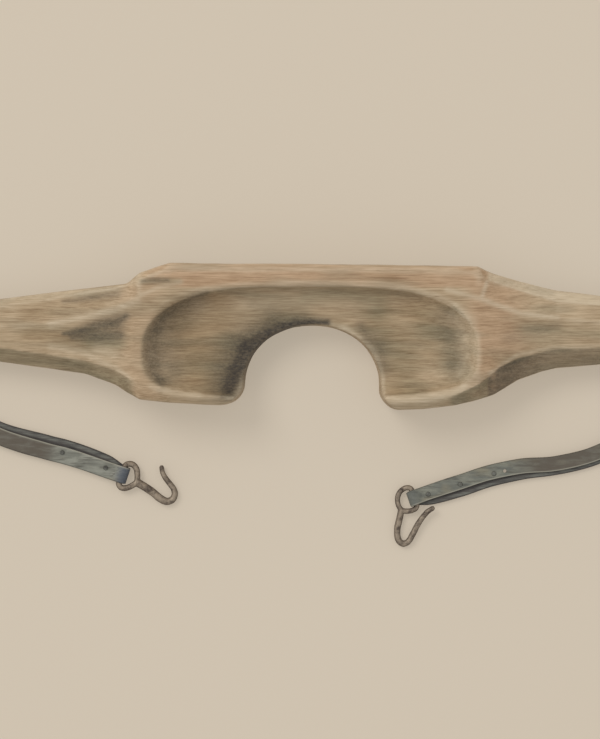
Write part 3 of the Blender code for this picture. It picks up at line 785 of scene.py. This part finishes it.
def strip_skin(strap, section, stations):
    """The strip's closed skin: one ring of vertices at each station."""
    centres = np.array([(s, z) for s, z, _ in stations])
    run = np.concatenate([[0], np.cumsum(np.linalg.norm(np.diff(centres, axis=0), axis=1))])
    rng = np.random.default_rng(SEED + len(strap.name))     # each side wavers in its own way
    edges = wavering(run, (9.0, 17.0, 31.0), rng), wavering(run, (7.0, 14.0, 27.0), rng)
    verts = []
    for i, (s, z, rear) in enumerate(stations):
        ahead = centres[min(i + 1, len(centres) - 1)] - centres[max(i - 1, 0)]
        ahead = ahead / np.linalg.norm(ahead)
        out = np.array([-ahead[1], ahead[0]])
        shift = rear * strap.rear_shift(s)
        for across, off in section:
            edge = across / (strap.width / 2)
            wave = edges[0 if across > 0 else 1][i]
            wide = across + EDGE_WAVER * wave * abs(edge) ** 3
            thick = off * (1 - EDGE_THINNING * abs(edge) ** 4)
            verts.append(strap.place(s + out[0] * thick, shift + wide, z + out[1] * thick))

    count, rows = len(section), len(stations)
    faces = []
    for row in range(0, (rows - 1) * count, count):
        for i in range(count):
            j = (i + 1) % count
            faces.append((row + i, row + j, row + count + j, row + count + i))
    faces += [tuple(range(count)), tuple(range((rows - 1) * count, rows * count))]
    mesh = bpy.data.meshes.new(f"{strap.name}_leather_strap")
    mesh.from_pydata(verts, [], faces)
    shape = bmesh.new()
    shape.from_mesh(mesh)
    bmesh.ops.recalc_face_normals(shape, faces=shape.faces)
    shape.to_mesh(mesh)
    shape.free()
    return mesh, verts


def build_strap(name):
    side = SIDES[name]
    strap = Strap(name, side)
    section = np.array(strap.outline())
    stations = strap.stations()
    mesh, verts = strip_skin(strap, section, stations)
    piece = new_object(f"{name}_leather_strap", mesh)

    rivets = [node for node in frame["nodes"] if node.startswith(f"{name}_rivet")]
    spots = [(Vector(low) + Vector(high)) / 2 for low, high in map(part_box, rivets)]
    spots += [strap.place(strap.length - back, sideways, STRAP_Z)
              for back, sideways in side["holes"]]
    tree = kdtree.KDTree(len(verts))
    for i, point in enumerate(verts):
        tree.insert(point, i)
    tree.balance()
    mesh = punched(piece, spots)
    source = [tree.find(vertex.co)[1] for vertex in mesh.vertices]

    # Masks along and across the strip, for the leather's own colours and for its painted light and
    # shade: tip, where the strip bends round the bar, is painted shade; line a painted highlight along
    # the front layer's edge; rear marks the rear layer, partly painted shade; band its painted sheen.
    across = np.tile(section[:, 0] / (strap.width / 2), len(stations))[source]
    along = np.repeat([s for s, _, _ in stations], len(section))[source]
    rear = np.repeat([r for _, _, r in stations], len(section))[source]
    front = 1 - rear
    store(mesh,
          trim=smoothstep(0.84, 0.99, np.abs(across)),
          rear=rear,
          tip=smoothstep(strap.length - 9, strap.length + 1, along),
          stain=front * smoothstep(*side["stain"], along),
          line=front * smoothstep(0.80, 0.88, across) * smoothstep(0.99, 0.93, across),
          band=rear * smoothstep(0.30, 0.55, across) * smoothstep(0.95, 0.75, across))
    mesh.shade_smooth()
    mesh.materials.append(leather_material(f"{name}_harness_leather", side["face"], side["tip"]))

    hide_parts(f"{name}_strap_loop", f"{name}_strap_inner_ply", f"{name}_strap_end")
    start, end = (tuple(strap.place(side["flex"] + step, 0, STRAP_Z))
                  for step in (-side["bend"], side["bend"]))
    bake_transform(piece)


# Colours of the leather, apart from each side's own: patches on its face, then its rear layer,
# which is darker, partly its own colour and partly painted shade under the front layer, with a
# painted sheen along its showing band; then the edges' trim and the painted edge highlight.
TAN = (138, 130, 108)
SCUFFED = (80, 76, 68)
STAINED = (94, 86, 75)
UNDER = (76, 71, 67), (54, 51, 50)
UNDER_SHEEN = (118, 118, 110)
TRIM = (58, 58, 55)
# Painted highlight along the front layer's edge.
EDGE_HIGHLIGHT = (170, 166, 150)


def leather_material(name, face_colours, fold_shade_colour):
    g = Graph(name)
    trim, rear, tip, stain, line, band = (
        g.mask(key) for key in ("trim", "rear", "tip", "stain", "line", "band"))
    pores = g.noise((900.0, 900.0, 900.0), detail=4, rough=0.6)
    cloud = g.noise((45.0, 160.0, 160.0), detail=4, rough=0.6, twist=0.3)
    scuff = g.noise((40.0, 420.0, 420.0), detail=4, rough=0.65, twist=0.3)
    patch = g.noise((26.0, 60.0, 60.0), detail=2)
    face = g.mix(g.span(cloud, 0.32, 0.68), *(rgb(*c) for c in face_colours))
    face = g.mix(g.span(patch, 0.48, 0.66, 0.0, 0.55), face, rgb(*TAN))
    face = g.mix(g.span(scuff, 0.48, 0.68, 0.0, 0.7), face, rgb(*SCUFFED))
    face = g.cover(face, stain, g.span(cloud, 0.3, 0.6, 0.65, 1.0), rgb(*STAINED))
    # The rear layer: its own darker colour and painted shade, with the painted sheen on the band.
    under = g.mix(g.span(cloud, 0.35, 0.7), *(rgb(*c) for c in UNDER))
    under = g.cover(under, band, g.span(scuff, 0.35, 0.65, 0.1, 0.9), rgb(*UNDER_SHEEN))
    colour = g.mix(rear, face, under)
    # The painted shade where the strip bends round the bar, the edges' dark trim, then the painted highlight along
    # the front layer's edge.
    for mask, share, coat in ((tip, 0.75, fold_shade_colour), (trim, 0.6, TRIM), (line, 0.75, EDGE_HIGHLIGHT)):
        colour = g.cover(colour, mask, share, rgb(*coat))
    rough = g.span(scuff, 0.3, 0.7, 0.5, 0.72)
    normal = g.bump(g.total((pores, 0.5), (scuff, 1.0)), distance=0.0003, strength=0.7)
    return g.finish(colour, rough, normal, Specular_IOR_Level=0.35)


# ---- ironwork ----------------------------------------------------------------------------

def forged(node, body, kind):
    """A CAD piece of iron with its facets smoothed away and hammer marks in their place."""
    piece = remeshed(f"{node}_{kind['ending']}", node, kind["voxel"])
    mesh = piece.data
    relax(mesh, rounds=24)
    spots = millimetres(mesh)
    cut = (kind["cut"],) * 3
    dents = kind["depth"] * (scoops(spots, cut, SEED + 11) - 0.5)
    dents += 0.3 * kind["depth"] * ripples(spots, cut, SEED + 12)
    push_out(mesh, read_normals(mesh), dents)
    # Worn: wear on the ridges and a painted highlight on faces turned up or down; the other mask is painted shade
    # in grooves and on the sides.
    ridge = edge_height(mesh, rounds=10) / kind["voxel"]
    flat = np.abs(read_normals(mesh)[:, 2])
    store(mesh, worn=smoothstep(0.4, 2.4, ridge) * smoothstep(0.3, 0.9, flat),
          hidden=smoothstep(-0.1, -0.6, ridge) + 0.95 * smoothstep(0.92, 0.40, flat))
    mesh.materials.append(kind["material"])
    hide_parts(node)
    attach(piece, body)


def iron_material(name, light, mid, dark):
    g = Graph(name)
    worn, hidden = g.mask("worn"), g.mask("hidden")
    cloud = g.noise((120.0, 120.0, 120.0), detail=5, rough=0.65, twist=0.4)
    pits = g.noise((900.0, 900.0, 900.0), detail=3, rough=0.6)
    colour = g.mix(g.span(cloud, 0.35, 0.7), mid, dark)
    colour = g.mix(g.span(pits, 0.5, 0.75, 0.0, 0.4), colour, light)
    # The wear with its painted highlight, then the painted shade on the sides and in grooves.
    colour = g.cover(colour, worn, 0.8, light)
    colour = g.cover(colour, hidden, 0.8, dark)
    rough = g.span(cloud, 0.3, 0.7, 0.45, 0.68)
    normal = g.bump(g.total((pits, 0.4), (cloud, 1.0)), distance=0.0003, strength=0.8)
    return g.finish(colour, rough, normal, Metallic=0.25)


# The skin's grain, and the reach and depth of a hammer mark, in millimetres.
HOOK = {
    "ending": "forged", "slot": "iron", "voxel": 0.55, "cut": 4.5, "depth": 0.16,
    "material": iron_material("forged_iron", rgb(196, 180, 157), rgb(154, 139, 120),
                              rgb(70, 58, 50)),
}
RIVET = {
    "ending": "hammered", "slot": "rivet_iron", "voxel": 0.17, "cut": 1.6, "depth": 0.10,
    "material": iron_material("rivet_iron", rgb(146, 144, 132), rgb(112, 112, 104),
                              rgb(58, 56, 52)),
}


def build_ironwork():
    for body, nodes in frame["record"]["behaviour"]["bodies"].items():
        for node in nodes:
            if node.endswith("hook"):
                forged(node, body, HOOK)
            elif "rivet" in node or "burr" in node:
                forged(node, body, RIVET)


# ---- studio ------------------------------------------------------------------------------

FLOOR_REACH = 6.0
FLOOR_Z = -0.0002          # a hair below the pieces, which lie at 0
PAPER = (213, 200, 181)
FLOOR_GLOW = 0.5           # share of the floor's light that is its own, which lifts the shadows
FLOOR_LEVEL = 0.95         # how bright that share is beside the light that falls on it
KEY_PLACE = (-6.0, 6.0, 10.0)
KEY_AIM = (0, -0.05, 0)
KEY_SIZE = 7.3
KEY_POWER = 653
KEY_COLOUR = (1.0, 0.985, 0.965)
SKY_LEVEL = 0.66


def build_floor():
    r = FLOOR_REACH
    mesh = bpy.data.meshes.new("floor")
    mesh.from_pydata([(-r, -r, 0), (r, -r, 0), (r, r, 0), (-r, r, 0)], [], [(0, 1, 2, 3)])
    floor = new_object("floor", mesh)
    floor.location.z = FLOOR_Z
    lit = tuple((1 - FLOOR_GLOW) * c for c in rgb(*PAPER))
    glow = tuple(FLOOR_GLOW * FLOOR_LEVEL * c for c in rgb(*PAPER))
    mesh.materials.append(Graph("floor_paper").finish(
        lit, 0.9, Specular_IOR_Level=0.1, Emission_Color=(*glow, 1), Emission_Strength=1.0))


def build_light():
    light = bpy.data.lights.new("key", "AREA")
    light.shape = "DISK"
    light.size = KEY_SIZE
    light.energy = KEY_POWER
    light.color = KEY_COLOUR
    key = new_object("key", light)
    key.location = KEY_PLACE
    key.rotation_euler = (Vector(KEY_AIM) - Vector(KEY_PLACE)).to_track_quat("-Z", "Y").to_euler()
    world = bpy.data.worlds.new("studio")
    world.use_nodes = True
    sky = world.node_tree.nodes["Background"]
    sky.inputs["Color"].default_value = (1, 1, 1, 1)
    sky.inputs["Strength"].default_value = SKY_LEVEL
    bpy.context.scene.world = world
    bpy.context.scene.view_settings.view_transform = "Standard"


CAMERA_MIDDLE = (-13.7, -41.5)     # millimetres about the arms' axis
CAMERA_Z = 6.55                    # metres above the floor
CAMERA_AWAY = 6.5                  # metres to the plane that fills the picture
FIELD_HEIGHT = 0.776               # metres of that plane that the picture's height takes in
SENSOR = 36.0


def build_camera():
    data = bpy.data.cameras.new("camera")
    data.sensor_width = SENSOR
    data.lens = SENSOR * CAMERA_AWAY / FIELD_HEIGHT
    data.clip_end = 50
    camera = new_object("camera", data)
    camera.location = at(*CAMERA_MIDDLE, CAMERA_Z / MM)
    bpy.context.scene.camera = camera


build_beam()
for side_name in SIDES:
    build_strap(side_name)
build_ironwork()
build_floor()
build_light()
build_camera()
